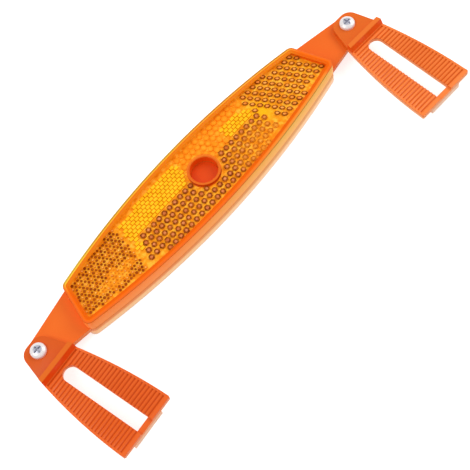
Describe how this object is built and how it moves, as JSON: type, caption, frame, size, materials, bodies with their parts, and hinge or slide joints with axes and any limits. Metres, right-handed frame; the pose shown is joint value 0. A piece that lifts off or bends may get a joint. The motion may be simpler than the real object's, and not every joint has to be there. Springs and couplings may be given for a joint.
{
  "type": "bicycle spoke reflector",
  "caption": "Flat two-faced amber reflector for bicycle spokes, with bowed long sides, a round well and a swivelling slotted clip on a tapered tab at each end.",
  "frame": {"origin": "middle of the back face, midway between the two screws and on the line through them", "axes": "+X along the reflector towards the right clip, +Y towards the wheel's hub, +Z out of the front lens"},
  "size_m": [0.1784, 0.0617, 0.0105],
  "materials": {
    "carrier_plastic": "moulded opaque orange",
    "front_lens_plastic": "clear amber acrylic",
    "back_lens_plastic": "clear amber acrylic",
    "clip_plastic": "moulded opaque orange",
    "zinc_steel": "bright zinc plate"
  },
  "bodies": {
    "reflector": {"carrier": "carrier_plastic", "front_lens": "front_lens_plastic", "back_lens": "back_lens_plastic", "left_screw": "zinc_steel", "right_screw": "zinc_steel", "left_nut": "zinc_steel", "right_nut": "zinc_steel"},
    "left_clip_arm": {"left_clip": "clip_plastic"},
    "right_clip_arm": {"right_clip": "clip_plastic"}
  },
  "joints": [
    {"name": "left_clip_swivel", "type": "hinge", "parent": "reflector", "child": "left_clip_arm", "pos_m": [-0.08, 0, 0.007], "axis": [0, 0, 1], "range_deg": [-205.5, 14.5]},
    {"name": "right_clip_swivel", "type": "hinge", "parent": "reflector", "child": "right_clip_arm", "pos_m": [0.08, 0, 0.007], "axis": [0, 0, 1], "range_deg": [-17.5, 202.5]}
  ]
}
